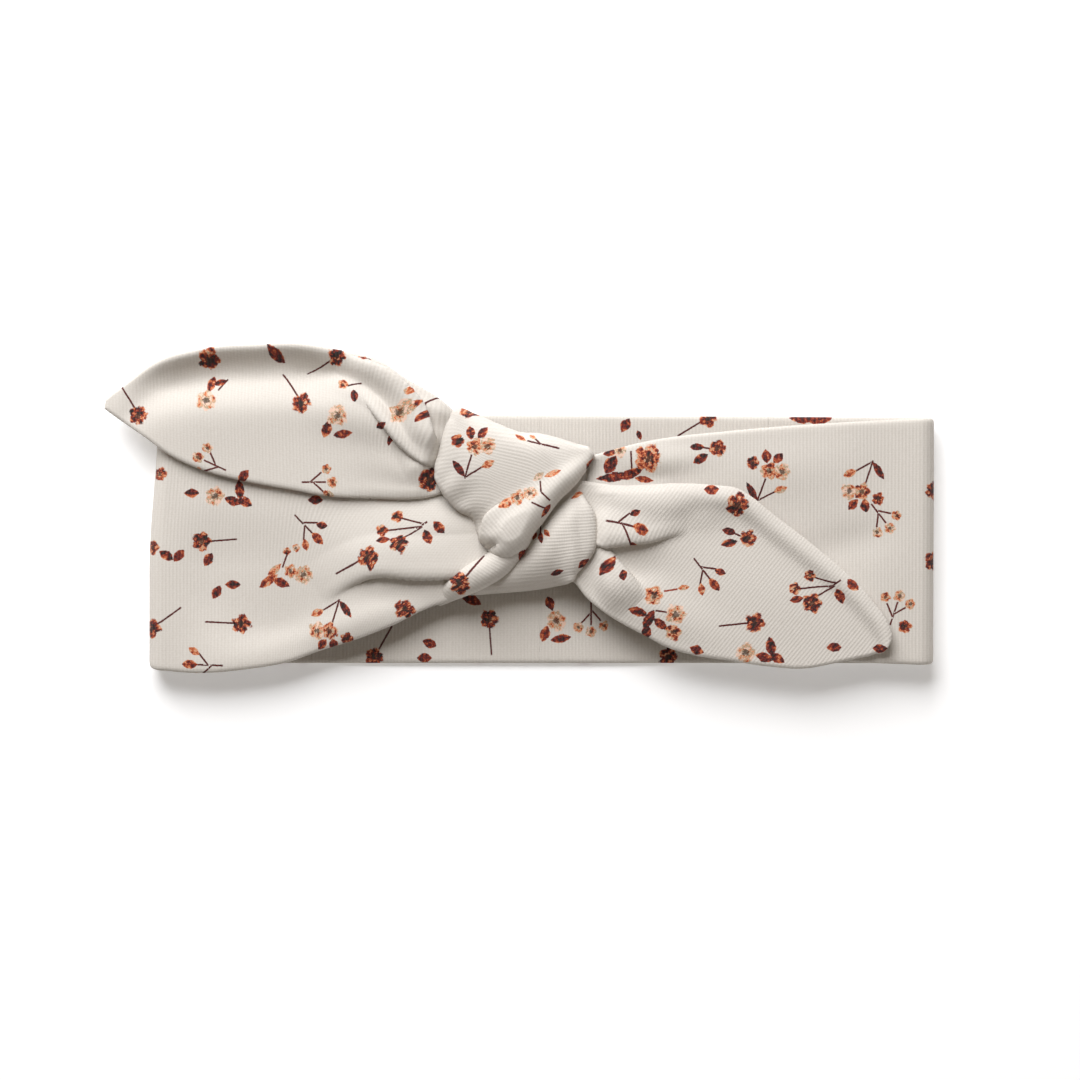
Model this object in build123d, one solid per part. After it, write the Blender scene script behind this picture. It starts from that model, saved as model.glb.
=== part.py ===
from build123d import *
import os
from math import tan, radians

# A baby's headband: one long two-ply strip of rib jersey with leaf-shaped ends, tied in a
# knot, so that it makes a loop with two tails. It lies flat: X runs along the band, Y across
# it and Z up. The origin is on the underside of the back length, at its middle.

# ---- driving dimensions, in millimetres and degrees ----

# The strip
band_width = 64.0
ply = 0.8                    # one layer of the jersey, with its rib
seam_width = 1.2             # the turned edge, where the two plies are sewn
seam_height = 1.0

# The loop, as it lies
loop_half_length = 102.0     # from the middle of the band to either fold
loop_gap = 5.0               # clear height between the back length and the front lengths
bend_half_span = 15.0        # from the middle to the lines where the back and the knot bend

# The front lengths, where they are gathered into the knot
left_gather_top = 18.0
left_gather_bottom = -11.0
right_gather_top = 21.0
right_gather_bottom = -10.0
gather_slope = 24.0          # how steeply the gathered edges run into the knot

# The tails: a leaf on each side, from its root on the knot
left_root = (-27.2, 22.9)
left_heading = 170.0
left_length = 87.0
left_upper = 21.6            # half widths of the leaf above and below its middle line
left_lower = 16.3
left_root_upper = 12.0
left_root_lower = 11.3
right_root = (16.3, 0.0)
right_heading = -20.0
right_length = 79.5
right_upper = 23.5
right_lower = 20.0
right_root_upper = 15.0
right_root_lower = 15.0

# The knot
knot_top = 33.0              # reach of the wraps along Y
knot_bottom = -16.0
knot_side = 14.2             # reach of the wraps towards the right tail
nose_x = -10.0               # where the over wrap tucks in
nose_y = -4.0
over_wrap_height = 9.4
under_wrap_height = 6.0
wrap_top_share = 0.72        # the top of the over wrap, as a share of its foot
wrap_corner = 4.0
core_top = 24.0
core_bottom = -12.0

# The hand-sewn stitches that close the hole the strip was turned through
stitch_count = 8
stitch_pitch = 5.0
stitch_length = 2.6
stitch_thickness = 0.4
stitch_start = -90.0

# Clearances
lie_clearance = 0.4          # between lengths that lie on each other
bend_clearance = 0.5         # between panels that meet at a bend
fold_clearance = 0.3         # between the two halves of a fold

# ---- derived places ----
half_width = band_width / 2
band_thickness = 2 * ply
front_bottom = band_thickness + loop_gap
front_top = front_bottom + band_thickness
fold_radius = front_top / 2
fold_x = loop_half_length - fold_radius
tail_bottom = front_top + lie_clearance
core_base = band_thickness + lie_clearance
panel_end = bend_half_span + bend_clearance

# A leaf's side, as shares of its length and of its half width
leaf_side = ((0.25, 1.0), (0.57, 0.88), (0.87, 0.48))


def plate(outline, base, height):
    """A flat solid of the outline, standing on the given level."""
    return extrude(Pos(0, 0, base) * outline, amount=height, dir=(0, 0, 1))


def rectangle(x_low, x_high, y_low, y_high):
    middle = Pos((x_low + x_high) / 2, (y_low + y_high) / 2)
    return middle * Rectangle(x_high - x_low, y_high - y_low)


def band_edges(x_low, x_high, base):
    """The two turned edges of a straight stretch of band."""
    level = base + (band_thickness - seam_height) / 2
    upper = rectangle(x_low, x_high, half_width - seam_width, half_width)
    lower = rectangle(x_low, x_high, -half_width, seam_width - half_width)
    return plate(upper, level, seam_height) + plate(lower, level, seam_height)


def back_spans():
    """Where each of the back's three panels starts and ends along X."""
    inner = bend_half_span + bend_clearance / 2
    centre = bend_half_span - bend_clearance / 2
    return {
        "back_left": (-fold_x, -inner),
        "back_center": (-centre, centre),
        "back_right": (inner, fold_x),
    }


def quarter_fold(side, upper):
    """Half of the turn at an end of the loop, both plies, across the full width."""
    ring = Circle(fold_radius) - Circle(fold_radius - band_thickness)
    reach = fold_radius - fold_clearance / 2
    level = fold_clearance / 2 + reach / 2
    window = Pos(side * fold_radius / 2, level if upper else -level) * Rectangle(fold_radius, reach)
    section = Plane.XZ * (ring & window)
    shell = extrude(section, amount=half_width, both=True)
    return Pos(side * fold_x, 0, fold_radius) * shell


def front_outline(side, gather_top, gather_bottom, inset):
    """A front length: full width at the fold, gathered where it goes into the knot."""
    run = -side
    rise = tan(radians(gather_slope))
    inner = side * panel_end
    outer = side * fold_x
    reach = half_width - inset
    top = Spline(
        [(outer, reach), (inner, gather_top - inset)],
        tangents=[(run, 0), (run, -rise)],
    )
    bottom = Spline(
        [(inner, gather_bottom + inset), (outer, -reach)],
        tangents=[(-run, -rise), (-run, 0)],
    )
    inner_end = Line((inner, gather_top - inset), (inner, gather_bottom + inset))
    outer_end = Line((outer, -reach), (outer, reach))
    return make_face(Wire([top, inner_end, bottom, outer_end]))


def front_length(side, gather_top, gather_bottom):
    """The lower ply, the upper ply and the two turned edges of one front length."""
    whole = front_outline(side, gather_top, gather_bottom, 0)
    cloth = front_outline(side, gather_top, gather_bottom, seam_width)
    edge_level = front_bottom + (band_thickness - seam_height) / 2
    lining = plate(cloth, front_bottom, ply)
    face = plate(cloth, front_bottom + ply, ply)
    edges = plate(whole, edge_level, seam_height) - lining - face
    return lining, face, edges


def leaf_outline(length, upper, lower, root_upper, root_lower, inset):
    """A tail in its own frame: the root on Y, the tip along X."""
    tip = length - inset
    rising = [(share * tip, width * upper - inset) for share, width in leaf_side]
    falling = [(share * tip, inset - width * lower) for share, width in reversed(leaf_side)]
    root_top = (0, root_upper - inset)
    root_low = (0, inset - root_lower)
    side = Spline([root_top, *rising, (tip, 0), *falling, root_low])
    return make_face(Wire([side, Line(root_low, root_top)]))


def tail(root, heading, shape):
    """The lower ply, the upper ply and the turned edge of one tail."""
    place = Pos(root[0], root[1]) * Rot(0, 0, heading)
    whole = place * leaf_outline(*shape, 0)
    cloth = place * leaf_outline(*shape, seam_width)
    edge_level = tail_bottom + (band_thickness - seam_height) / 2
    lining = plate(cloth, tail_bottom, ply)
    face = plate(cloth, tail_bottom + ply, ply)
    edge = plate(whole, edge_level, seam_height) - lining - face
    return lining, face, edge


def root_side(root, heading, outline):
    """The part of an outline that stays clear of a tail's bend line."""
    keep = Rectangle(4 * band_width, 4 * band_width)
    shifted = Pos(-2 * band_width - lie_clearance, 0) * keep
    return outline & (Pos(root[0], root[1]) * Rot(0, 0, heading) * shifted)


def over_wrap_corners():
    """The turn that lies over the knot, from the left tail down to its tucked nose."""
    left = left_root[0]
    return [
        (left, left_root[1] - left_root_lower),
        (nose_x - wrap_corner, nose_y),
        (nose_x + wrap_corner, nose_y),
        (knot_side, left_root[1]),
        (left + 2 * wrap_corner, knot_top),
        (left, knot_top),
    ]


def over_wrap_outline():
    outline = make_face(Polyline(over_wrap_corners(), close=True))
    outline = fillet(outline.vertices(), radius=wrap_corner - lie_clearance)
    return root_side(left_root, left_heading, outline)


def under_wrap_outline():
    """The turn below it, which carries on into the right tail."""
    corners = [
        (left_root[0], knot_bottom),
        (knot_side - wrap_corner, core_bottom),
        (knot_side, core_bottom + wrap_corner),
        (knot_side, left_root[1] - wrap_corner),
        (nose_x - 2 * wrap_corner, left_root[1] - left_root_lower),
    ]
    outline = make_face(Polyline(corners, close=True))
    return root_side(right_root, right_heading, outline)


def under_wrap():
    """The under wrap, cut back where the over wrap lies on it."""
    block = plate(under_wrap_outline(), tail_bottom, under_wrap_height)
    return block - plate(over_wrap_outline(), tail_bottom, over_wrap_height)


def knot_core():
    """The crossing inside the knot, gathered tight between the two wraps."""
    half = bend_half_span - bend_clearance
    outline = rectangle(-half, half, core_bottom, core_top)
    outline = fillet(outline.vertices(), radius=2 * wrap_corner)
    outline = root_side(right_root, right_heading, outline)
    return plate(outline, core_base, tail_bottom - core_base)


def over_wrap():
    """The over wrap: drawn in from its foot to its top, with rounded corners."""
    corners = over_wrap_corners()
    foot = make_face(Polyline(corners, close=True))
    middle = foot.center()
    drawn_in = [
        (middle.X + wrap_top_share * (x - middle.X), middle.Y + wrap_top_share * (y - middle.Y))
        for x, y in corners
    ]
    lid = make_face(Polyline(drawn_in, close=True))
    foot = Pos(0, 0, tail_bottom) * foot
    lid = Pos(0, 0, tail_bottom + over_wrap_height) * lid
    return loft([foot, lid], ruled=True) & plate(over_wrap_outline(), tail_bottom, over_wrap_height)


def closing_stitches():
    """Ladder stitches along the back's upper edge, as a group of separate threads."""
    level = (band_thickness - stitch_thickness) / 2
    stitches = []
    for index in range(stitch_count):
        start = stitch_start + index * stitch_pitch
        outline = rectangle(
            start, start + stitch_length, half_width, half_width + stitch_thickness
        )
        stitches.append(plate(outline, level, stitch_thickness))
    return Compound(children=stitches)


def build():
    parts = {}
    for name, (x_low, x_high) in back_spans().items():
        reach = half_width - seam_width
        outline = rectangle(x_low, x_high, -reach, reach)
        parts[name + "_face"] = plate(outline, 0, ply)
        parts[name + "_lining"] = plate(outline, ply, ply)
        parts[name + "_edges"] = band_edges(x_low, x_high, 0)

    fronts = {
        "left": (-1, left_gather_top, left_gather_bottom),
        "right": (1, right_gather_top, right_gather_bottom),
    }
    for name, (side, gather_top, gather_bottom) in fronts.items():
        lining, face, edges = front_length(side, gather_top, gather_bottom)
        parts["front_" + name + "_lining"] = lining
        parts["front_" + name + "_face"] = face
        parts["front_" + name + "_edges"] = edges
        parts[name + "_fold_back_half"] = quarter_fold(side, False)
        parts[name + "_fold_front_half"] = quarter_fold(side, True)

    left_shape = (left_length, left_upper, left_lower, left_root_upper, left_root_lower)
    right_shape = (right_length, right_upper, right_lower, right_root_upper, right_root_lower)
    tails = {
        "left_tail": tail(left_root, left_heading, left_shape),
        "right_tail": tail(right_root, right_heading, right_shape),
    }
    for name, (lining, face, edge) in tails.items():
        parts[name + "_lining"] = lining
        parts[name + "_face"] = face
        parts[name + "_edge"] = edge

    parts["knot_core"] = knot_core()
    parts["knot_over_wrap"] = over_wrap()
    parts["knot_under_wrap"] = under_wrap()
    parts["closing_stitches"] = closing_stitches()
    return parts


os.makedirs("parts", exist_ok=True)
for node, solid in build().items():
    export_step(solid, "parts/" + node + ".step")
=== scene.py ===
import bpy
import math
import numpy as np
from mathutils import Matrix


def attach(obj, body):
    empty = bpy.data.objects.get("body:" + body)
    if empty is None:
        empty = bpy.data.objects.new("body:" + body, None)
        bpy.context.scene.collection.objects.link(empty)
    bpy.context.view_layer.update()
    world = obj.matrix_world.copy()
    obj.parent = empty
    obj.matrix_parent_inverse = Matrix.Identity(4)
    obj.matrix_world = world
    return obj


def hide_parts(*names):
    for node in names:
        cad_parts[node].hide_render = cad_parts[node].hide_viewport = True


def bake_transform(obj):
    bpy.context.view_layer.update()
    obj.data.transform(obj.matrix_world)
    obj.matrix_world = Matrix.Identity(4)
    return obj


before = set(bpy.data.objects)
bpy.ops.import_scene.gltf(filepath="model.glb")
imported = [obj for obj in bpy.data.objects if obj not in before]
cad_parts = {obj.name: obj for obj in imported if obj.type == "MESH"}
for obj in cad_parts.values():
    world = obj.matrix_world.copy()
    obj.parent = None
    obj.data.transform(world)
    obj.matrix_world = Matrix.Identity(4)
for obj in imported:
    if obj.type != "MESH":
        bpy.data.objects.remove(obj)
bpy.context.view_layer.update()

# Table, lights and camera: the band lies flat on a white studio table, under one large soft light
# from beyond it and a white room all round. The camera looks straight down on it.
MM = 0.001
camera_height = 0.788
lens_length = 100
sensor_width = 36
table_drop = 0.2 * MM
room_glow_above = 0.115
room_glow_level = 0.36
warm_above = (1.0, 0.8, 0.58)
glow_from, glow_to = 0.06, 0.4
table_shade = 0.93
table_glow = 0.25
table_reach = 3.0
key_power = 15.8
key_size = 0.75
key_place = (-0.24, 0.72, 0.6)
fill_power = 1.0
daylight = (0.975, 0.98, 1.0)
fill_place = (0.55, -0.35, 0.55)

show = bpy.context.scene.collection.objects.link

camera_data = bpy.data.cameras.new("overhead")
camera_data.lens = lens_length
camera_data.sensor_width = sensor_width
camera = bpy.data.objects.new("overhead", camera_data)
camera.location = (0, 0, camera_height)
show(camera)
bpy.context.scene.camera = camera
bpy.context.scene.view_settings.view_transform = "Standard"


def soft_light(name, place, size, power):
    data = bpy.data.lights.new(name, "AREA")
    data.size = size
    data.energy = power
    data.color = daylight
    light = bpy.data.objects.new(name, data)
    light.location = place
    light.rotation_euler = (-light.location).to_track_quat("-Z", "Y").to_euler()
    show(light)


soft_light("key", key_place, key_size, key_power)
soft_light("fill", fill_place, key_size, fill_power)

room = bpy.data.worlds.new("white_room")
room.use_nodes = True
sky = room.node_tree.nodes
look = sky.new("ShaderNodeTexCoord")
height = sky.new("ShaderNodeSeparateXYZ")
overhead = sky.new("ShaderNodeMapRange")
overhead.inputs["From Min"].default_value = glow_from
overhead.inputs["From Max"].default_value = glow_to
tint = sky.new("ShaderNodeMix")
tint.data_type = "RGBA"
tint.inputs[6].default_value = [room_glow_level] * 3 + [1]
tint.inputs[7].default_value = [room_glow_above * share for share in warm_above] + [1]
room.node_tree.links.new(look.outputs["Generated"], height.inputs[0])
room.node_tree.links.new(height.outputs["Z"], overhead.inputs["Value"])
room.node_tree.links.new(overhead.outputs[0], tint.inputs[0])
room.node_tree.links.new(tint.outputs[2], sky["Background"].inputs["Color"])
bpy.context.scene.world = room

table_mesh = bpy.data.meshes.new("table")
corner_signs = [(-1, -1), (1, -1), (1, 1), (-1, 1)]
table_corners = [(a * table_reach, b * table_reach, -table_drop) for a, b in corner_signs]
table_mesh.from_pydata(table_corners, [], [(0, 1, 2, 3)])
table = bpy.data.objects.new("table", table_mesh)
show(table)
table_white = bpy.data.materials.new("table_white")
table_white.use_nodes = True
table_finish = table_white.node_tree.nodes["Principled BSDF"].inputs
table_finish["Base Color"].default_value = (table_shade, table_shade, table_shade, 1)
table_finish["Roughness"].default_value = 0.9
table_finish["Emission Color"].default_value = (1, 1, 1, 1)
table_finish["Emission Strength"].default_value = table_glow
table_mesh.materials.append(table_white)


# The jersey: fine 1x1 rib cotton, cream, the ribs running across the strip. Small flowers are
# printed on it in maroon, rust, orange and pale grey-pink, and the dye sits on the ribs' crowns.
rib_pitch = 0.9
loop_pitch = 0.62
mm_per_uv = 10


def dye(red, green, blue):
    """A linear colour from the usual 0 to 255 values."""
    shares = [value / 255 for value in (red, green, blue)]
    return [s / 12.92 if s < 0.04045 else ((s + 0.055) / 1.055) ** 2.4 for s in shares] + [1]


class Weave:
    """Builds one material's nodes, feeding each node from values or other nodes' sockets."""

    def __init__(self, name):
        self.material = bpy.data.materials.new(name)
        self.material.use_nodes = True
        self.nodes = self.material.node_tree.nodes
        self.links = self.material.node_tree.links
        self.shader = self.nodes["Principled BSDF"]

    def feed(self, socket, value):
        if isinstance(value, bpy.types.NodeSocket):
            self.links.new(value, socket)
        else:
            socket.default_value = value

    def add(self, kind, inputs=(), output=0, **settings):
        node = self.nodes.new(kind)
        for key, value in settings.items():
            setattr(node, key, value)
        for key, value in dict(inputs).items():
            self.feed(node.inputs[key], value)
        return node.outputs[output]

    def math(self, operation, *values):
        return self.add("ShaderNodeMath", dict(enumerate(values)), operation=operation)

    def times(self, value, factor):
        return self.math("MULTIPLY", value, factor)

    def times_plus(self, value, factor, more):
        return self.math("MULTIPLY_ADD", value, factor, more)

    def size_of(self, value):
        return self.math("ABSOLUTE", value)

    def blend(self, share, under, over):
        return self.add("ShaderNodeMix", {0: share, 6: under, 7: over}, output=2, data_type="RGBA")

    def step(self, value, low, high):
        return self.add(
            "ShaderNodeMapRange", {"Value": value, "From Min": low, "From Max": high},
            interpolation_type="SMOOTHSTEP",
        )

    def finish(self, settings):
        for name, value in settings.items():
            self.feed(self.shader.inputs[name], value)

    def split(self, vector):
        node = self.nodes.new("ShaderNodeSeparateXYZ")
        self.links.new(vector, node.inputs[0])
        return node.outputs

    def layer(self, name):
        return self.split(self.add("ShaderNodeAttribute", output=1, attribute_name=name))

    def noise(self, where, scale, detail=2.0):
        return self.add("ShaderNodeTexNoise", {"Vector": where, "Scale": scale, "Detail": detail})

    def ramp(self, value, stops):
        node = self.nodes.new("ShaderNodeValToRGB")
        self.links.new(value, node.inputs[0])
        bands = node.color_ramp.elements
        for index, (place, colour) in enumerate(stops):
            if index > 1:
                bands.new(place)
            bands[index].position = place
            bands[index].color = colour
        return node.outputs[0]


# The cloth's creams: a lighter one for the rib crowns, and darker ones painted into the grooves as painted
# shade, in plain and in heathered patches. A fine random tone also moves between them.
tone_and_groove_shade_cream, tone_and_crown_light_cream, heather_and_groove_shade_cream = dye(186, 178, 167), dye(220, 215, 208), dye(188, 180, 169)
eye_brown = dye(40, 30, 24)
inks = [
    (0.0, dye(24, 18, 18)), (0.14, dye(66, 16, 18)), (0.28, dye(106, 26, 18)), (0.42, dye(152, 60, 32)),
    (0.56, dye(196, 112, 66)), (0.70, dye(218, 164, 132)), (0.84, dye(150, 140, 112)),
    (1.0, dye(226, 192, 172)),
]


def printed_jersey(name):
    w = Weave(name)
    cloth = w.add("ShaderNodeUVMap", uv_map="knit")
    along, across, _ = w.split(cloth)
    place = w.add("ShaderNodeTexCoord", output=3)

    # the knit: rib crowns along one direction, loops along each rib. The grooves between the crowns and
    # between the loops are painted darker as painted shade, over a fine random tone.
    turns = w.times(along, mm_per_uv * 2 * math.pi / rib_pitch)
    crown = w.times_plus(w.math("COSINE", turns), 0.5, 0.5)
    rounds = w.times(across, mm_per_uv * 2 * math.pi / loop_pitch)
    loops = w.times_plus(w.math("SINE", rounds), 0.5, 0.5)
    fuzz = w.noise(place, 2600, 3)
    heather = w.noise(place, 90, 3)
    shade = w.times_plus(crown, 0.14, w.times_plus(fuzz, 0.6, 0.2))
    shade = w.times_plus(loops, 0.08, shade)
    cream = w.blend(shade, tone_and_groove_shade_cream, tone_and_crown_light_cream)
    cream = w.blend(w.step(heather, 0.35, 0.7), cream, w.blend(shade, heather_and_groove_shade_cream, tone_and_crown_light_cream))

    # the print: a mottled dye, its colour picked along one scale by each element's tone
    blot = w.noise(cloth, 11, 3)
    speck = w.noise(cloth, 30, 2)
    bend = w.noise(cloth, 4.6, 1)
    mottle = w.times_plus(blot, 0.6, w.times(speck, 0.4))
    ragged = w.times_plus(mottle, 2.6, -1.3)
    wander = w.times_plus(bend, 2.0, -1.0)
    patch = w.times_plus(w.noise(cloth, 7.5, 2), 2.0, -1.0)

    def ink(tone, spread):
        return w.ramp(w.times_plus(ragged, spread, tone), inks)

    def printed(under, colour, mask):
        held = w.times(mask, w.times_plus(crown, 0.03, 0.96))
        return w.blend(held, under, colour)

    x, y, tone = w.layer("stems")
    side = w.math("SUBTRACT", 1.0, w.size_of(w.times_plus(ragged, 0.5, x)))
    ends = w.math("SUBTRACT", 0.5, w.size_of(w.math("SUBTRACT", y, 0.5)))
    mask = w.times(w.step(side, -0.1, 0.35), w.step(ends, -0.02, 0.03))
    colour = printed(cream, ink(tone, 0.12), mask)

    x, y, tone = w.layer("leaves")
    bulge = w.math("SUBTRACT", 1.0, w.times(y, y))
    inside = w.math("SUBTRACT", bulge, w.size_of(x))
    inside = w.times_plus(ragged, 0.28, inside)
    inside = w.times_plus(wander, 0.2, inside)
    rim = w.step(inside, 0.38, 0.12)
    vein = w.step(w.size_of(w.times_plus(ragged, 0.3, x)), 0.2, 0.06)
    leaf_tone = w.times_plus(rim, 0.1, w.times_plus(vein, -0.1, tone))
    leaf_tone = w.times_plus(patch, 0.7, leaf_tone)
    colour = printed(colour, ink(leaf_tone, 0.4), w.step(inside, 0.0, 0.12))

    x, y, tone = w.layer("blooms")
    far = w.math("SQRT", w.times_plus(x, x, w.times(y, y)))
    turn = w.times_plus(w.math("ARCTAN2", y, x), 2.5, w.times(wander, 1.4))
    petal = w.size_of(w.math("COSINE", turn))
    brim = w.times_plus(w.math("POWER", petal, 0.6), 0.24, 0.72)
    inside = w.times_plus(ragged, 0.26, w.math("SUBTRACT", brim, far))
    inside = w.times_plus(wander, 0.3, inside)
    gap = w.times(w.step(petal, 0.4, 0.1), w.step(far, 0.15, 0.4))
    eye = w.step(w.times_plus(ragged, 0.42, far), 0.36, 0.2)
    rim = w.step(inside, 0.3, 0.06)
    bloom_tone = w.times_plus(rim, 0.16, tone)
    bloom_tone = w.times_plus(gap, -0.14, bloom_tone)
    bloom_tone = w.times_plus(patch, 1.1, bloom_tone)
    bloom_ink = w.blend(w.times(eye, 0.8), ink(bloom_tone, 0.5), eye_brown)
    colour = printed(colour, bloom_ink, w.step(inside, 0.0, 0.12))

    relief = w.times_plus(fuzz, 0.35, w.times_plus(loops, 0.25, w.times(crown, 0.7)))
    bump = w.add("ShaderNodeBump", {"Height": relief, "Strength": 0.3, "Distance": 0.0001})
    w.finish({
        "Base Color": colour, "Normal": bump, "Roughness": 0.88, "Sheen Weight": 0.06,
        "Sheen Roughness": 0.5, "Specular IOR Level": 0.25,
    })
    return w.material


face_jersey = printed_jersey("printed_jersey")

# The print's motifs, each from a few stems, leaves and blooms. A stem runs from one point to
# another, a leaf has a middle, a heading and two half sizes, and a bloom a middle and a radius.
# The last number of each is its tone, its place on the scale of the inks.
motifs = {
    "bloom": ([], [], [(0, 0, 3.1, 0.28)]),
    "small_bloom": ([], [], [(0, 0, 2.1, 0.36)]),
    "pale_bloom": ([], [], [(0, 0, 3.2, 0.82)]),
    "stalked": ([(0.6, -9.4, 0, -1.5, 0.17)], [], [(0, 0, 2.8, 0.27)]),
    "leaf": ([], [(0, 0, 90, 1.3, 2.1, 0.27)], []),
    "long_leaf": ([], [(0, 0, 90, 1.5, 3.3, 0.27)], []),
    "seeds": ([], [(-1.2, 0.8, 60, 1.4, 2.2, 0.28), (2.4, -1.8, 110, 0.8, 1.4, 0.24)], []),
    "buds": (
        [(0, -6.5, 0, 0.8, 0.17), (0, -3.6, -2.9, -0.6, 0.17), (0, -2.6, 3.0, 0.0, 0.17)],
        [(0, 2.2, 90, 1.2, 2.2, 0.36), (-3.2, 0.6, 125, 1.0, 1.6, 0.3), (3.4, 1.2, 58, 1.0, 1.7, 0.48)],
        [],
    ),
    "small_buds": (
        [(0, -3.0, 0, 0.4, 0.17)],
        [(0, 1.6, 90, 0.9, 1.8, 0.28), (-2.0, 0.6, 125, 0.8, 1.3, 0.42), (2.0, 0.8, 58, 0.8, 1.3, 0.48)],
        [],
    ),
    "pale_buds": (
        [(0, -5.6, 0, 0.8, 0.2), (0, -3.4, -2.6, -0.4, 0.2), (0, -2.6, 2.6, 0.2, 0.2)],
        [],
        [(0, 2.4, 1.7, 0.68), (-3.4, 0.9, 1.5, 0.62), (3.3, 1.3, 1.6, 0.74)],
    ),
    "branch": (
        [(3.6, 2.0, -2.4, 3.5, 0.17), (3.2, 1.4, -6.4, 0.3, 0.17), (3.2, 1.4, -1.6, -1.6, 0.17),
         (4.4, 2.6, 1.6, 0.8, 0.17)],
        [(-7.0, -2.4, 10, 1.0, 1.9, 0.28), (4.4, -1.4, -70, 1.4, 2.3, 0.3),
         (7.4, 1.2, -45, 1.3, 2.1, 0.3)],
        [(-3.4, 3.9, 1.8, 0.32), (-7.4, 0.4, 1.8, 0.42), (-2.9, -3.4, 2.8, 0.28)],
    ),
    "pale": (
        [],
        [(-3.0, -3.4, 70, 1.4, 2.4, 0.32), (1.2, -4.6, 10, 1.2, 2.8, 0.28)],
        [(0, 0, 3.0, 0.82)],
    ),
    "wing": (
        [],
        [(3.0, 1.6, 100, 1.4, 2.8, 0.22), (1.4, -1.2, 165, 1.3, 2.6, 0.26),
         (4.6, -1.4, -30, 1.3, 2.4, 0.3)],
        [(-3.6, 0, 2.9, 0.82)],
    ),
    "pale_head": (
        [(3.0, 1.0, 5.4, 4.2, 0.17)],
        [(1.2, 2.8, 75, 1.2, 2.6, 0.34), (3.4, 3.2, 20, 1.0, 1.9, 0.26)],
        [(0, -1.4, 2.9, 0.84)],
    ),
    "bud_pair": (
        [(-0.4, 0.2, 3.4, 1.9, 0.14)],
        [(1.6, -2.2, 100, 1.0, 1.7, 0.24)],
        [(-1.6, 0.4, 1.5, 0.52)],
    ),
    "cluster": (
        [(-0.4, 0.6, 3.2, 0.0, 0.17), (1.8, 5.4, 5.4, 6.0, 0.36)],
        [(-4.8, 0.4, 160, 1.2, 3.0, 0.26), (-2.0, -1.6, 60, 1.4, 2.8, 0.18),
         (-2.6, -5.0, -100, 1.3, 2.2, 0.18), (1.0, -2.8, -40, 1.2, 2.4, 0.28),
         (7.0, 6.4, 10, 0.8, 1.6, 0.62)],
        [(-0.8, 4.2, 2.9, 0.66), (4.9, -0.6, 3.0, 0.8), (4.4, -4.9, 2.4, 0.54)],
    ),
    "knot_spray": (
        [(-2.4, -6.6, -0.6, -0.4, 0.17), (-2.2, -6.2, 2.4, -3.4, 0.17)],
        [(-3.9, -4.0, -55, 1.0, 2.8, 0.18), (3.4, -3.0, 25, 1.1, 1.9, 0.6),
         (-0.8, 5.2, 100, 1.3, 1.9, 0.28), (2.2, 5.0, 50, 1.2, 1.8, 0.3)],
        [(0.2, 1.6, 2.5, 0.56), (3.4, 1.6, 2.5, 0.78), (-4.2, 3.4, 1.9, 0.26)],
    ),
    "bouquet": (
        [(2.2, -1.5, 1.8, 4.4, 0.17)],
        [(-3.4, 1.0, 60, 1.7, 2.9, 0.24), (-2.4, -2.2, 8, 1.4, 5.0, 0.2), (1.6, -1.4, 24, 1.4, 3.8, 0.26),
         (5.2, -2.8, -10, 1.1, 2.6, 0.36)],
        [(6.4, 2.6, 3.8, 0.44), (-1.0, 4.6, 2.0, 0.8)],
    ),
    "fan": (
        [(-1.0, 1.6, 0.4, 5.6, 0.2)],
        [(-4.6, -1.8, 35, 1.3, 3.2, 0.42), (-1.4, -2.2, -25, 1.3, 2.6, 0.26),
         (-3.2, 0.8, 45, 1.0, 2.8, 0.6)],
        [(4.6, -0.2, 2.8, 0.78), (1.2, 0.8, 2.0, 0.64), (0.2, 6.0, 1.2, 0.62), (2.6, 6.8, 1.2, 0.7)],
    ),
    "long_pale": (
        [(4.2, 4.6, 4.8, 1.4, 0.17), (4.8, 1.4, 6.8, -0.4, 0.17), (2.4, -1.4, 6.2, -2.6, 0.17)],
        [(-4.2, -1.6, 45, 1.4, 2.4, 0.58), (6.0, -3.2, 62, 0.9, 2.3, 0.3), (7.4, 6.6, 20, 1.0, 2.4, 0.6),
         (3.6, 5.8, 40, 1.0, 1.8, 0.84)],
        [(-1.5, 0, 2.5, 0.74), (1.8, 1.2, 2.3, 0.86)],
    ),
    "twig": (
        [(8.6, 3.6, 0.6, 0.2, 0.17), (4.2, 1.6, 1.4, 2.0, 0.17)],
        [(-1.4, -0.2, 5, 0.7, 1.9, 0.5), (0.6, 2.0, 178, 0.6, 1.6, 0.62)],
        [],
    ),
    "pair": (
        [(-1.6, 1.0, 0.8, 0.2, 0.17)],
        [(-3.2, 1.4, 170, 1.1, 2.0, 0.2), (-2.8, -1.6, -160, 1.2, 2.3, 0.22)],
        [(2.0, 0.2, 2.5, 0.34)],
    ),
}


stem_half_width = 0.27
unprinted = (9.0, 9.0, 0.0)
print_layers = ("stems", "leaves", "blooms")
search_margin = 3.0
stem_reach, motif_reach = 1.2, 2.2


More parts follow.
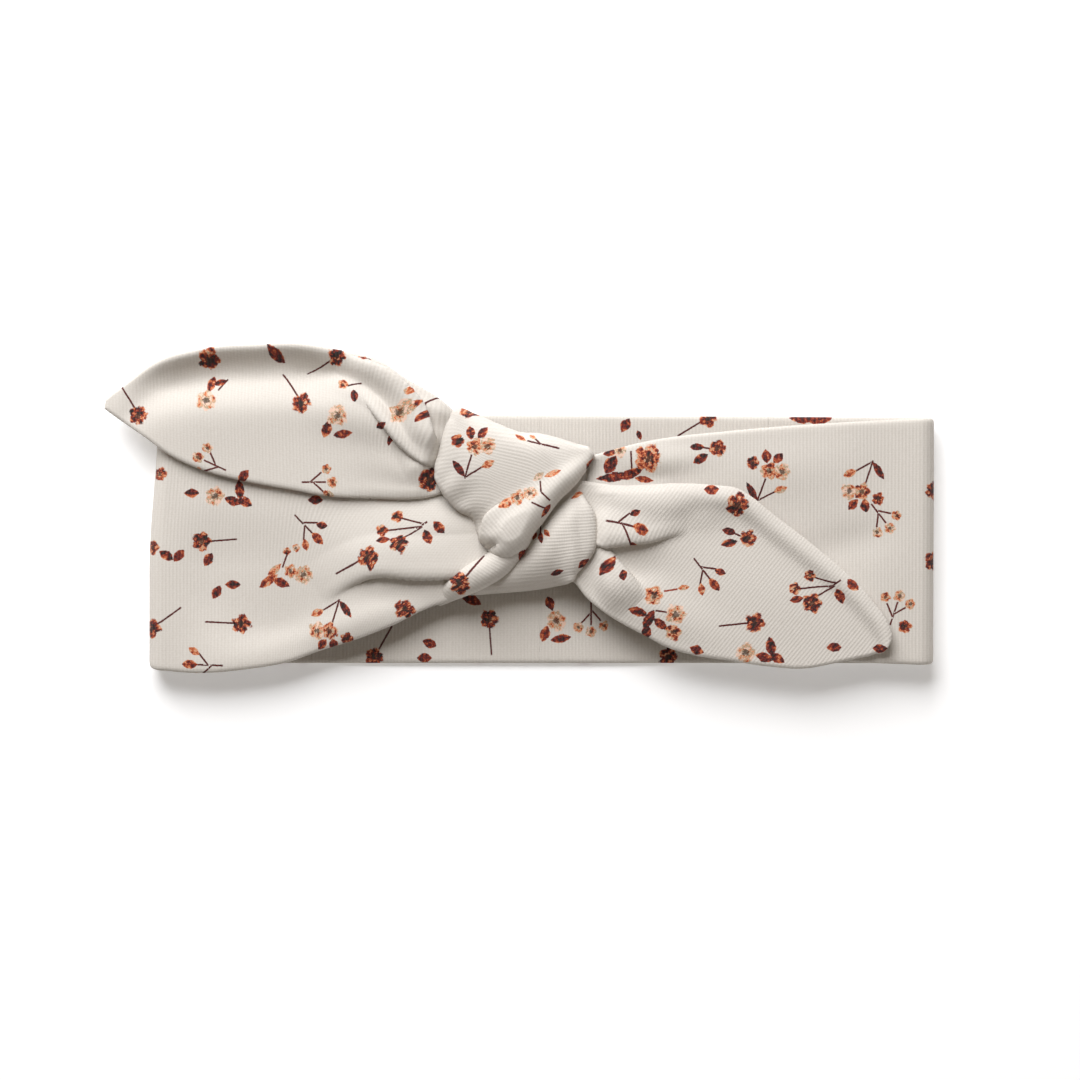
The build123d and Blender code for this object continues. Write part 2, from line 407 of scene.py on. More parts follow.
def spread_out(placements):
    """Every stem, leaf and bloom of the placed motifs: its start or middle, its heading, its half
    width, its length or half length, and its tone."""
    found = {layer: [] for layer in print_layers}
    for kind, x, y, heading in placements:
        c, s = math.cos(math.radians(heading - 90)), math.sin(math.radians(heading - 90))

        def put(a, b):
            return x + c * a - s * b, y + s * a + c * b

        stems, leaves, blooms = motifs[kind]
        for a, b, far_a, far_b, tone in stems:
            (x0, y0), (x1, y1) = put(a, b), put(far_a, far_b)
            length = math.hypot(x1 - x0, y1 - y0)
            ahead_x, ahead_y = (x1 - x0) / length, (y1 - y0) / length
            found["stems"].append((x0, y0, ahead_x, ahead_y, stem_half_width, length, tone))
        for a, b, lean, half_wide, half_long, tone in leaves:
            lean = math.radians(lean + heading - 90)
            found["leaves"].append((*put(a, b), math.cos(lean), math.sin(lean), half_wide, half_long, tone))
        for a, b, radius, tone in blooms:
            found["blooms"].append((*put(a, b), 0.0, 1.0, radius, radius, tone))
    return found


def print_on(flat, placements):
    """For the corners of each face, their place within the nearest stem, leaf and bloom."""
    middle = flat.mean(1)
    layers = {}
    for layer, found in spread_out(placements).items():
        local = np.tile(np.array(unprinted), (len(flat), 4, 1))
        best = np.full(len(flat), stem_reach if layer == "stems" else motif_reach)
        for cx, cy, ahead_x, ahead_y, half_wide, half_long, tone in found:
            away = np.hypot(middle[:, 0] - cx, middle[:, 1] - cy)
            rows = np.nonzero(away < max(half_wide, half_long) + search_margin)[0]
            dx, dy = middle[rows, 0] - cx, middle[rows, 1] - cy
            run, off = dx * ahead_x + dy * ahead_y, dx * ahead_y - dy * ahead_x
            if layer == "stems":
                score = np.hypot(off, np.maximum(np.maximum(-run, run - half_long), 0))
            else:
                score = np.hypot(off / half_wide, run / half_long)
            closer = score < best[rows]
            win = rows[closer]
            best[win] = score[closer]
            dx, dy = flat[win, :, 0] - cx, flat[win, :, 1] - cy
            local[win, :, 0] = (dx * ahead_y - dy * ahead_x) / half_wide
            local[win, :, 1] = (dx * ahead_x + dy * ahead_y) / half_long
            local[win, :, 2] = tone
        layers[layer] = local
    return layers


def scatter(low, high, seed):
    """An even all-over layout of motifs, for the sides of the cloth that mostly face away."""
    dice = np.random.default_rng(seed)
    kinds = ["stalked", "buds", "branch", "seeds", "cluster", "bloom", "pale", "pair", "leaf", "pale_buds"]
    placed = []
    pitch, row_share, most_shift = 17.0, 0.62, 3
    for row, y in enumerate(np.arange(low[1], high[1] + pitch, pitch * row_share)):
        for x in np.arange(low[0] + (row % 2) * pitch / 2, high[0] + pitch, pitch):
            shift = dice.uniform(-most_shift, most_shift, 2)
            kind = kinds[dice.integers(len(kinds))]
            placed.append((kind, x + shift[0], y + shift[1], dice.uniform(0, 360)))
    return placed


# The back length: the strip's middle, lying flat on the table. It is made in two parts that meet
# at its middle and end part way to each fold.
band_half = 32.3
ply_pair = 1.6
column = rib_pitch / 4
row_pitch = 0.9
back_print = [
    ("stalked", -43.5, -30.6, -124), ("leaf", -28.9, -27.1, -20), ("leaf", -30.3, -30.9, 0),
    ("stalked", -13.3, -20.8, 90), ("long_leaf", -18.2, -15.4, -28), ("leaf", 2.6, -16.6, 110),
    ("pale", 4.3, -21.2, 90), ("pale_buds", 13.4, -21.6, -90), ("stalked", 33.5, -30.6, -90),
    ("seeds", 23.6, 29.3, 90), ("stalked", 44.1, 32.0, 27), ("long_leaf", 68.6, 31.9, 0),
    ("long_leaf", 73.2, 31.6, 10), ("leaf", -14.5, 29.6, 20), ("stalked", 62, -30, 200),
    ("branch", 0, 10, 30), ("cluster", -40, 12, 60), ("buds", 45, 5, 10), ("seeds", 52, -14, 0),
    ("pair", -50, -8, 90), ("stalked", 95, 26, 120), ("wing", 88, -22, 45),
]
back_end = 60.0


def follow(points, at, key=0):
    """Reads a smooth curve through listed points at the given places along its key column."""
    points = np.array(points, float)
    keys = points[:, key]
    slope = np.gradient(points, keys, axis=0)
    at = np.clip(at, keys[0], keys[-1])
    i = np.clip(np.searchsorted(keys, at, side="right") - 1, 0, len(keys) - 2)
    step = keys[i + 1] - keys[i]
    t = (at - keys[i]) / step
    t, step = t[..., None], step[..., None]
    a, b = points[i], points[i + 1]
    ma, mb = slope[i] * step, slope[i + 1] * step
    rise = 3 * t**2 - 2 * t**3
    return (1 - rise) * a + (t**3 - 2 * t**2 + t) * ma + rise * b + (t**3 - t**2) * mb


def line_through(points, count):
    """Evenly spaced points on a smooth curve through listed points."""
    points = np.array(points, float)
    gaps = np.hypot(*np.diff(points[:, :2], axis=0).T)
    keys = np.concatenate([[0], np.cumsum(gaps)])
    table = np.column_stack([keys, points])
    fine = follow(table, np.linspace(0, keys[-1], count))
    return fine[:, 1:]


def edge_rows(width, pitch):
    """Shares across a width, close together at both edges, where the cloth turns over."""
    turned = [0, 0.12, 0.35, 0.7, 1.2]
    count = max(4, int(round((width - 2 * turned[-1]) / pitch)))
    middle = np.linspace(turned[-1], width - turned[-1], count + 1)
    rows = np.concatenate([turned[:-1], middle, width - np.array(turned[:-1])[::-1]])
    return rows / width


def ease(value, low, high):
    t = np.clip((value - low) / (high - low), 0, 1)
    return t * t * (3 - 2 * t)


def cloth_piece(
    name, middle, thickness, along, across, print_top, print_under, ends, turned=1.2, relief=0.024
):
    """A closed double-sided cloth: the grid of its middle surface in millimetres, given thickness
    with turned edges and fine ribs. ends says which ends are cut flat where the next piece goes on."""
    n, m = middle.shape[:2]
    normal = np.cross(np.gradient(middle, axis=0), np.gradient(middle, axis=1))
    normal = normal / np.maximum(np.linalg.norm(normal, axis=2, keepdims=True), 1e-9)

    def to_edges(axis):
        steps = np.linalg.norm(np.diff(middle, axis=axis), axis=2)
        run = np.concatenate([np.zeros_like(np.take(steps, [0], axis)), np.cumsum(steps, axis)], axis)
        return run, np.take(run, [-1], axis) - run

    gap = np.minimum(*to_edges(1))
    for cut_flat, from_end in zip(ends, to_edges(0)):
        if not cut_flat:
            gap = np.minimum(gap, from_end)
    round_off = np.sqrt(np.clip(1 - (1 - np.clip(gap / turned, 0, 1)) ** 2, 0, 1))
    ribs = relief * np.cos(2 * math.pi * along / rib_pitch) * np.clip(round_off * 2 - 1, 0, 1)
    offset = normal * ((thickness / 2) * round_off + ribs)[..., None]
    points = np.concatenate([(middle + offset).reshape(-1, 3), (middle - offset).reshape(-1, 3)])

    # the under side shares the top's points along every turned edge
    grid_size = n * m
    top = np.arange(grid_size).reshape(n, m)
    under = top + grid_size
    under[:, [0, -1]] = top[:, [0, -1]]
    caps = []
    for cut_flat, row in zip(ends, (0, -1)):
        if cut_flat:
            a, b = top[row], under[row]
            cap = np.stack([a[:-1], a[1:], b[1:], b[:-1]], -1)
            caps += (cap if row == 0 else cap[:, ::-1]).tolist()
        else:
            under[row] = top[row]
    caps = [list(dict.fromkeys(face)) for face in caps]

    def quads(ids):
        return np.stack([ids[:-1, :-1], ids[1:, :-1], ids[1:, 1:], ids[:-1, 1:]], -1).reshape(-1, 4)

    sides = [quads(top), quads(under)[:, ::-1]]
    smooth_count = 2 * len(sides[0])
    corners = np.concatenate([sides[0].ravel(), sides[1].ravel(), *caps]).astype(int)
    face_sizes = [4] * smooth_count + [len(face) for face in caps]
    used, vertex = np.unique(corners, return_inverse=True)

    mesh = bpy.data.meshes.new(name)
    mesh.vertices.add(len(used))
    mesh.vertices.foreach_set("co", (points[used] * MM).astype(np.float32).ravel())
    mesh.loops.add(len(corners))
    mesh.loops.foreach_set("vertex_index", vertex.astype(np.int32))
    mesh.polygons.add(len(face_sizes))
    mesh.polygons.foreach_set("loop_start", (np.cumsum(face_sizes) - face_sizes).astype(np.int32))
    mesh.update(calc_edges=True)
    mesh.polygons.foreach_set("use_smooth", np.arange(len(face_sizes)) < smooth_count)

    knit = mesh.uv_layers.new(name="knit")
    place = corners % grid_size
    uv = np.stack([along.ravel()[place], across.ravel()[place]], 1) / mm_per_uv
    knit.data.foreach_set("uv", uv.astype(np.float32).ravel())
    printed = []
    for ids, (flat_x, flat_y, placements) in zip(sides, (print_top, print_under)):
        flat = np.stack([flat_x.ravel(), flat_y.ravel()], 1)
        printed.append(print_on(flat[ids % grid_size], placements))
    for layer in print_layers:
        values = np.tile(np.array(unprinted, np.float32), (len(corners), 1))
        values[: 4 * smooth_count] = np.concatenate([side[layer] for side in printed]).reshape(-1, 3)
        attribute = mesh.attributes.new(layer, "FLOAT_VECTOR", "CORNER")
        attribute.data.foreach_set("vector", values.ravel())
    mesh.materials.append(face_jersey)
    mesh.validate()
    piece = bpy.data.objects.new(name, mesh)
    show(piece)
    return piece


def back_top(x):
    """The back's upper edge, a little higher at the left."""
    return band_half + 0.4 - 0.006 * x


def ripple(x, y):
    """The slight unevenness of the cloth where it lies on the table."""
    return 0.12 * (1 + np.sin(x / 9.0 + y / 14.0)) * (1 - ease(abs(y), 24, 31))


def across_band(low, high):
    """Rows from one edge of the strip to the other, along each column."""
    share = edge_rows(2 * band_half, row_pitch)
    return low[:, None] + (high - low)[:, None] * share, len(share)


for side, body in ((-1, "back_left"), (1, "back_right")):
    x = np.linspace(min(0, side * back_end), max(0, side * back_end), int(round(back_end / column)) + 1)
    y, rows = across_band(np.full_like(x, -band_half), back_top(x))
    x = np.repeat(x[:, None], rows, 1)
    surface = np.stack([x, y, ply_pair / 2 + ripple(x, y)], -1)
    lining_print = scatter((-130, -40), (130, 40), 5)
    piece = cloth_piece(
        body.replace("_", "_cloth_"), surface, ply_pair, x, y,
        (x, y, back_print), (x, y, lining_print), (True, True),
    )
    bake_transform(piece)
    if side < 0:
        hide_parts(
            "back_center_face", "back_center_lining", "back_center_edges",
            "back_left_face", "back_left_lining", "back_left_edges",
        )
    else:
        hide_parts("back_right_face", "back_right_lining", "back_right_edges")

# The rest of the loop: on each side the strip goes on from the back, turns round the soft fold
# and comes back over itself, gathered from its full width into the knot.
fold_mid_radius = 3.3
fold_turn = 97.9
knot_entry = 12.0
front_outer = 98.0
left_front = {
    "top": [(-98, 33.2), (-80, 32.6), (-60, 30.5), (-40, 25.5), (-26, 20.0), (-12, 17.0)],
    "low": [
        (-98, -34.0), (-90.6, -34.6), (-76, -33.6), (-65.7, -31.8), (-57.2, -28.8), (-46.8, -25.5),
        (-36.4, -21.3), (-27.6, -16.8), (-20, -14.0), (-12, -11.0),
    ],
}
right_front = {
    "top": [
        (12, 21.5), (20.8, 24.0), (28.3, 25.8), (36.7, 27.1), (46.6, 28.1), (57.2, 29.1), (76.4, 30.5),
        (98, 31.6),
    ],
    "low": [(12, -8.0), (25, -15.0), (40, -22.0), (60, -28.5), (80, -31.6), (98, -32.5)],
}
left_front_print = [
    ("small_bloom", -100.2, 17.2, 0), ("wing", -81.8, 11.4, 90), ("leaf", -91.6, 12.2, 0),
    ("stalked", -88.3, -0.3, 180), ("leaf", -86.4, -5.0, 60), ("small_bloom", -100.8, -2.0, 0),
    ("leaf", -97.2, -4.0, -35), ("leaf", -94.0, -4.0, 50), ("buds", -59.3, 2.0, -45),
    ("fan", -66.0, -8.8, 90), ("leaf", -84.2, -13.6, 60), ("leaf", -79.9, -11.6, 0),
    ("stalked", -101.0, -23.0, -148), ("stalked", -77.8, -21.9, -7), ("buds", -88.8, -32.4, 178),
    ("stalked", -44.4, -4.6, 23), ("branch", -33.6, 2.0, 90), ("knot_spray", -54.4, -22.0, 270),
    ("bloom", -35.3, -17.8, 0), ("leaf", -58.4, 10.4, 0), ("pair", -70, 24, 20), ("stalked", -40, 19, 60),
]
right_front_print = [
    ("bouquet", 21.8, 18.6, 90), ("leaf", 18.4, 23.0, 20), ("pair", 44.2, 23.2, 100),
    ("knot_spray", 59.2, 16.4, 86), ("knot_spray", 83.2, 14.2, 268), ("pale_buds", 88.8, 5.0, -52),
    ("stalked", 101.6, 13.0, 100), ("bloom", 101.6, -5.6, 0), ("pale_buds", 92.0, -16.8, 72),
    ("small_bloom", 94.2, -22.4, 0), ("stalked", 60, -10, 200), ("branch", 44, -2, 80),
]
flat_run = fold_turn - back_end
turn_run = math.pi * fold_mid_radius
front_run = fold_turn - knot_entry


def mound(x, y, cx, cy, rx, ry, height, turn=0.0):
    """A soft swelling of the cloth, or a hollow if the height is negative."""
    c, s = math.cos(math.radians(turn)), math.sin(math.radians(turn))
    u, v = (x - cx) * c + (y - cy) * s, (y - cy) * c - (x - cx) * s
    return height * np.exp(-((u / rx) ** 2) - (v / ry) ** 2)


def nearest_on(route, x, y):
    """For each place, how far the route is and which of its points is nearest."""
    nearest = np.empty(x.shape, int)
    for row in range(len(x)):
        square = (x[row, :, None] - route[:, 0]) ** 2 + (y[row, :, None] - route[:, 1]) ** 2
        nearest[row] = square.argmin(-1)
    return np.hypot(x - route[nearest, 0], y - route[nearest, 1]), nearest


route_points = 160
# across a pleat, in widths: the share of its rise, and the share of its overhang
pleat_profile = [
    (-4, 0, 0), (-1.3, 0, 0), (-0.75, 0.02, 0.55), (-0.35, 0.15, 0.9), (0, 0.5, 0), (0.35, 0.86, -0.9),
    (0.75, 1.0, -0.55), (1.3, 0.85, 0), (4, 0, 0),
]


def pleat(surface, line, lift, over, width, side):
    """Lays the cloth on one side of a line over the cloth on its other side, as a soft pleat.
    lift and over are the lip's height and overhang at each of the line's points."""
    route = line_through([(x, y, a, b) for (x, y), a, b in zip(line, lift, over)], route_points)
    x, y = surface[..., 0], surface[..., 1]
    flat = np.stack([x.ravel(), y.ravel()], 1)
    box_low, box_high = route[:, :2].min(0) - 4 * width, route[:, :2].max(0) + 4 * width
    near = np.nonzero(((flat > box_low) & (flat < box_high)).all(1))[0]
    gap = flat[near, None, :] - route[None, :, :2]
    square = (gap**2).sum(2)
    i = square.argmin(1)
    gap = gap[np.arange(len(near)), i]
    heading = np.gradient(route[:, :2], axis=0)
    heading /= np.hypot(*heading.T)[:, None]
    normal = np.stack([-heading[:, 1], heading[:, 0]], 1) * side
    signed = (gap * normal[i]).sum(1)
    beyond = np.abs((gap * heading[i]).sum(1))
    off_end = ((i == 0) | (i == len(route) - 1)) & (beyond > 0.3)
    fade = np.where(off_end, np.exp(-((beyond / width) ** 2)), 1)
    _, rise, shift = follow(pleat_profile, np.clip(signed / width, -4, 4)).T
    places = surface.reshape(-1, 3)
    places[near, 2] += route[i, 2] * fade * rise
    places[near, :2] += (route[i, 3] * fade * shift)[:, None] * normal[i]
    return places.reshape(surface.shape)


def loop_side(side, front):
    """The grid of one side of the loop, from the back's end round the fold to the knot."""
    total = flat_run + turn_run + front_run
    s = np.linspace(0, total, int(round(total / column)) + 1)
    angle = np.clip((s - flat_run) / fold_mid_radius, 0, math.pi)
    reach_out = np.minimum(back_end + s, fold_turn) - np.clip(s - flat_run - turn_run, 0, None)
    x = side * (reach_out + fold_mid_radius * np.sin(angle))
    z = ply_pair / 2 + fold_mid_radius * (1 - np.cos(angle))
    on_front = ease(s, flat_run, flat_run + turn_run)
    front_x = side * np.clip(reach_out, knot_entry, front_outer)
    low = -band_half + (follow(front["low"], front_x)[:, 1] + band_half) * on_front
    high = back_top(x) + (follow(front["top"], front_x)[:, 1] - back_top(x)) * on_front
    y, rows = across_band(low, high)
    s, x, z, on_front = (np.repeat(a[:, None], rows, 1) for a in (s, x, z, on_front))
    slack = ease(s, flat_run + turn_run, flat_run + turn_run + 14)
    outer = side * (fold_turn + flat_run + turn_run - s)
    inner = side * (back_end + s)
    rolled = ease(s, 0, flat_run) * ease(s, flat_run + turn_run + 45, flat_run + turn_run)
    z = z + ripple(x, y) * (1 - ease(s, 0, 20))
    return s, x, y, z, on_front, slack, rolled, outer, inner


s, x, y, z, on_front, slack, rolled, outer, inner = loop_side(-1, left_front)
x = x + 2.2 * rolled * ease(y, -8, 32)
z = z + slack * (
    mound(x, y, -30, 0, 20, 8.0, 2.6, 4) + mound(x, y, -62, -6, 26, 14, 0.8, 8)
    + mound(x, y, -50, -22, 26, 4, 1.2, 18) + mound(x, y, -88, -25, 16, 7, 0.9, -12)
    - 1.5 * (1 - ease(y, -7, 11)) * ease(-x, 46, 66) * ease(y, -34, -22)
    + 0.3 * np.sin(y / 2.4 + x / 30) * ease(x, -52, -24) * (1 - ease(y, 8, 14))
)
calm = np.stack([x, y, z], -1)
surface = pleat(
    calm.copy(), [(-14, -8.6), (-20.6, -9.0), (-32.8, -9.3), (-43.2, -9.1), (-50.2, -12.1), (-56, -16)],
    (1.6, 2.0, 2.2, 1.9, 1.0, 0.0), (1.2, 1.5, 1.6, 1.2, 0.4, 0.0), 2.6, side=-1,
)
surface[on_front < 1] = calm[on_front < 1]
rib_lean = 0.85 * slack * ease(x, -76, -28)
loop_cloth_left = cloth_piece(
    "loop_cloth_left", surface, ply_pair, s - rib_lean * (y + 2), y,
    (outer, y, left_front_print + scatter((-150, -40), (-127, 40), 11)),
    (inner, y, back_print + scatter((-200, -40), (-110, 40), 12)), (True, False),
)
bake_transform(loop_cloth_left)
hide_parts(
    "left_fold_back_half", "left_fold_front_half",
    "front_left_lining", "front_left_face", "front_left_edges",
)

s, x, y, z, on_front, slack, rolled, outer, inner = loop_side(1, right_front)
x = x + rolled * (0.7 + 0.2 * ease(y, -30, 30))
z = z + slack * (
    mound(x, y, 60, 18, 22, 8, 0.8, 6) - mound(x, y, 80, -1, 16, 5, 0.6, 15)
    - mound(x, y, 90, 14, 5, 14, 0.5, 20) + mound(x, y, 92, -14, 14, 9, 0.5, 30)
    + mound(x, y, 26, 19, 14, 3.0, 0.8, 10)
    + 0.5 * np.sin(y / 1.7 + x / 24) * (1 - ease(x, 20, 50)) * ease(y, 10, 15)
)
surface = np.stack([x, y, z], -1)
loop_cloth_right = cloth_piece(
    "loop_cloth_right", surface, ply_pair, s, y,
    (inner, y, back_print + scatter((110, -40), (200, 40), 13)),
    (outer, y, right_front_print + scatter((124, -40), (150, 40), 14)), (True, False),
)
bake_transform(loop_cloth_right)
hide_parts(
    "right_fold_back_half", "right_fold_front_half",
    "front_right_lining", "front_right_face", "front_right_edges",
)


# The left tail: the knot's free end that lies over the front's upper left. Two gathers in its root
# open outwards into its width, and its end is rounded and turned.
tail_level = 9.45
tail_row_pitch = 0.5
left_tail_shape = {
    "root": (-27.2, 22.9), "heading": 170, "start": -8.0,
    "top": [
        (-16.6, 29.0), (-22.9, 33.5), (-31.2, 39.8), (-41.9, 47.2), (-53.7, 49.6), (-62.9, 51.0),
        (-72.8, 50.8), (-88.9, 49.4), (-101, 45.4), (-108.4, 39.9), (-112.4, 36.9), (-113.6, 35.6),
    ],
    "low": [
        (-17.8, 15.2), (-26.8, 11.6), (-45, 10.8), (-57.2, 11.6), (-62.4, 12.6), (-76.7, 15.2),
        (-85.5, 17.4), (-97.2, 22.7), (-101.8, 26.1), (-110.4, 32.0), (-113.4, 34.2),
    ],
}


def tail_grid(shape):
    """The grid of one tail: columns across its heading, rows along it."""
    turn = math.radians(shape["heading"])
    ahead = np.array([math.cos(turn), math.sin(turn)])
    up = np.array([-ahead[1], ahead[0]]) * (1 if ahead[0] > 0 else -1)
    root = np.array(shape["root"])

    def edge(points):
        flat = np.array(points) - root
        return np.column_stack([flat @ ahead, flat @ up])

    top, low = edge(shape["top"]), edge(shape["low"])
    end = min(top[-1, 0], low[-1, 0])
    u = np.linspace(shape["start"], end, int(round((end - shape["start"]) / column)) + 1)
    high, deep = follow(top, u)[:, 1], follow(low, u)[:, 1]
    share = edge_rows(max(high - deep), tail_row_pitch)
    v = deep[:, None] + (high - deep)[:, None] * share
    u = np.repeat(u[:, None], len(share), 1)
    x = root[0] + u * ahead[0] + v * up[0]
    y = root[1] + u * ahead[1] + v * up[1]
    return u, v, x, y, high[:, None] - v, v - deep[:, None], ahead


def tucked(surface, level, clear_of_wrap):
    """The tail flattened to a level where it goes in under the knot's wraps."""
    surface[..., 2] = level + (surface[..., 2] - level) * (0.1 + 0.9 * clear_of_wrap)
    return surface


u, v, x, y, from_top, from_low, ahead = tail_grid(left_tail_shape)
width = from_top + from_low
gather = (1 - ease(u, 0, 30)) * ease(from_top, 0, 3) * ease(from_low, 0, 3)
z = tail_level + 0 * x
z = z + gather * (1.0 + 0.35 * np.sin(from_top / width * 6.2 * math.pi)) + 0.3 * ease(u, 10, 25)
z = z + mound(x, y, -45, 31, 16, 6, 1.8, -20) + mound(x, y, -78, 34, 22, 9, 0.7, 5)
curl = ease(u, 22, 38) * (1 - ease(u, 68, 86))
z = z + curl * (2.2 * np.exp(-((from_top / 3.0) ** 2)) - 3.2 * np.exp(-(((from_top - 8.5) / 5.5) ** 2)))
z = z - 1.6 * ease(y, 33, 50) * ease(-x, 40, 62) - 2.6 * ease(u, 70, 90)
surface = np.stack([x, y, z], -1)
surface = pleat(
    surface,
    [(-47.1, 39.3), (-43.2, 33.7), (-39.8, 29.5), (-36.3, 25.7), (-32.8, 22.6), (-29.3, 20.1), (-26, 18.2)],
    (0.0, 1.2, 1.7, 1.9, 1.9, 1.8, 1.6), (0.0, 0.7, 1.0, 1.1, 1.1, 1.0, 0.8), 2.4, side=1,
)
trough = line_through(
    [(-62, 43.5, 0.5), (-54, 43.4, 1.4), (-47, 41.6, 2.2), (-41, 37.6, 2.8), (-36.6, 32.0, 2.9),
     (-32.5, 25.5, 2.4), (-28.5, 20.5, 1.0)], route_points,
)
off_trough, nearest = nearest_on(trough, surface[..., 0], surface[..., 1])
surface[..., 2] -= trough[nearest, 2] * np.exp(-((off_trough / 2.6) ** 2))
surface = pleat(
    surface,
    [(-52, 48.2), (-48, 46.9), (-43.2, 44.9), (-38, 41.7), (-34.5, 38.2), (-31, 33.7), (-28.9, 28.5),
     (-26.2, 22.6)],
    (0.0, 1.2, 2.6, 3.2, 3.4, 3.4, 3.0, 2.4), (0.0, 0.8, 1.8, 2.2, 2.3, 2.2, 1.8, 1.0), 2.6, side=-1,
)
surface = tucked(surface, 9.0, ease(-31.3 + 0.26 * surface[..., 1] - surface[..., 0], -1, 4.5))
left_tail_print = [
    ("stalked", -104.3, 32.2, -64), ("bloom", -86.0, 47.4, 0), ("pale_head", -86.6, 37.4, 90),
    ("long_leaf", -68.5, 48.6, -45), ("stalked", -61.8, 35.2, -60), ("stalked", -52.6, 47.9, 27),
    ("long_leaf", -45.2, 46.6, -20), ("bud_pair", -49.4, 39.5, 85), ("pale", -52.2, 32.2, 90),
    ("seeds", -40.2, 28.6, 60), ("pale_bloom", -36.0, 33.0, 0), ("buds", -32.4, 34.4, 200),
    ("pale_buds", -86.4, 20.4, 155), ("leaf", -76.8, 16.6, 50), ("pale_buds", -56.2, 15.0, 0),
    ("bloom", -28.8, 15.6, 0),
]
left_tail_cloth = cloth_piece(
    "left_tail_cloth", surface, ply_pair, u - 0.2 * v, v, (x, y, scatter((-130, 0), (-10, 60), 21)),
    (x, y, left_tail_print), (False, False),
)
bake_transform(left_tail_cloth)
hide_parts("left_tail_lining", "left_tail_face", "left_tail_edge")

# The right tail: the other free end, slanting down over the front's lower right. Its upper edge
# is a soft roll, and two gathers at its root leave a valley between them.
right_tail_shape = {
    "root": (16.3, 0.0), "heading": -20, "start": -13.0,
    "top": [
        (3.0, 17.6), (9.5, 15.8), (15.1, 14.8), (21.8, 14.2), (28.4, 14.4), (35, 14.7), (45, 14.2),
        (51.6, 13.2), (55.5, 10.7), (60.7, 6.5), (67.6, 1.3), (72.8, -2.9), (79.2, -8.3), (86.1, -15.6),
        (90.6, -22.6), (91.3, -25.2),
    ],
    "low": [
        (-2.5, -3.5), (4.6, -8.6), (9.2, -11.4), (11.8, -14.7), (15.2, -17.7), (20.1, -21), (26.8, -24.6),
        (33.4, -28), (40, -29.9), (48.3, -31.2), (59, -32.8), (69.4, -33.3), (76.4, -32), (81.6, -30.9),
        (86.8, -29.6), (89.9, -28.2), (91.0, -26.8),
    ],
}
u, v, x, y, from_top, from_low, ahead = tail_grid(right_tail_shape)
width = from_top + from_low
gather = (1 - ease(u, 0, 26)) * ease(from_top, 0, 3) * ease(from_low, 0, 3)
z = tail_level + gather * (1.0 + 0.6 * np.sin(from_top / width * 5.4 * math.pi + 0.6))
z = z + 0.3 * ease(u, 8, 20)
z = z + mound(x, y, 34, 9, 18, 5, 2.0, 2) + mound(x, y, 30, -18, 18, 6, 1.2, -24)
z = z + mound(x, y, 56, -14, 20, 10, 0.6, -30) - mound(x, y, 40, 8, 5, 3, 0.5, 20)
z = z + 1.3 * np.exp(-(((from_top - 3.0) / 2.6) ** 2)) * ease(x, 34, 50)
surface = np.stack([x, y, z], -1)
surface = pleat(
    surface, [(10.5, -2.2), (15.8, -1.0), (21.8, -0.5), (28.4, 0.1), (33.4, 1.1), (38.5, 2.3)],
    (1.6, 2.4, 2.6, 2.2, 1.3, 0.0), (0.6, 1.2, 1.6, 1.4, 0.6, 0.0), 3.0, side=1,
)
surface = pleat(
    surface, [(11.5, 2.4), (17.8, -3.1), (20.1, -6.1), (22.8, -9), (25.1, -11.4), (27.5, -14.4)],
    (1.6, 2.2, 2.4, 2.2, 1.4, 0.0), (0.2, 0.8, 1.2, 1.0, 0.5, 0.0), 2.8, side=-1,
)
surface = tucked(surface, 9.6, ease(surface[..., 0] - 0.12 * abs(surface[..., 1]), 11.5, 17.5))
right_tail_print = [
    ("buds", 23.6, 3.4, -8), ("bloom", 51.0, 9.2, 0), ("leaf", 44.4, 12.8, 0), ("pair", 52.0, 0.5, 84),
    ("seeds", 18.4, -7.6, 90), ("buds", 43.8, -9.8, -52), ("cluster", 30.2, -18.8, 90),
    ("stalked", 55.6, -21.4, 2), ("branch", 73.4, -13.0, 90), ("wing", 56.8, -29.2, 90),
    ("leaf", 76.2, -27.8, 0), ("leaf", 88.2, -28.0, 0), ("leaf", 40.6, -28.4, -20),
]
right_tail_cloth = cloth_piece(
    "right_tail_cloth", surface, ply_pair, u - 0.36 * v, v, (x, y, right_tail_print),
    (x, y, scatter((0, -45), (100, 25), 22)), (False, False),
)
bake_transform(right_tail_cloth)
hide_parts("right_tail_lining", "right_tail_face", "right_tail_edge")


# The knot's core: the cloth bunched inside the knot, between the front's two gathered ends and
# under the wraps. Only its sides show, from low angles.
core_shape = [
    (-25, 20), (-20, 27), (-8, 25.5), (4, 23), (10.5, 18), (12, 8), (11.5, -4), (6, -10.5), (-8, -11.5),
    (-18, -11), (-19.5, -3), (-22, 9),
]
core_low, core_high = 2.2, 9.6
core_fold_depth, core_folds = 0.35, 23
rings, round_count = 15, 240
ring_points = line_through(core_shape + core_shape[:1], round_count + 1)[:-1]
core_middle = ring_points.mean(0)
lump = []
for span in np.linspace(-1, 1, rings):
    bulge = 1 - 0.16 * abs(span) ** 3
    folds = core_fold_depth * np.sin(np.arange(round_count) / round_count * 2 * core_folds * math.pi + span)
    out = ring_points - core_middle
    out = out * (bulge + (folds / np.hypot(*out.T))[:, None] * (1 - abs(span)))
    height = (core_low + core_high) / 2 + span * (core_high - core_low) / 2
    lump.append(np.column_stack([out + core_middle, np.full(round_count, height)]))
lump_points = np.concatenate([*lump, [[*core_middle, core_low]], [[*core_middle, core_high]]])
lump_faces = []
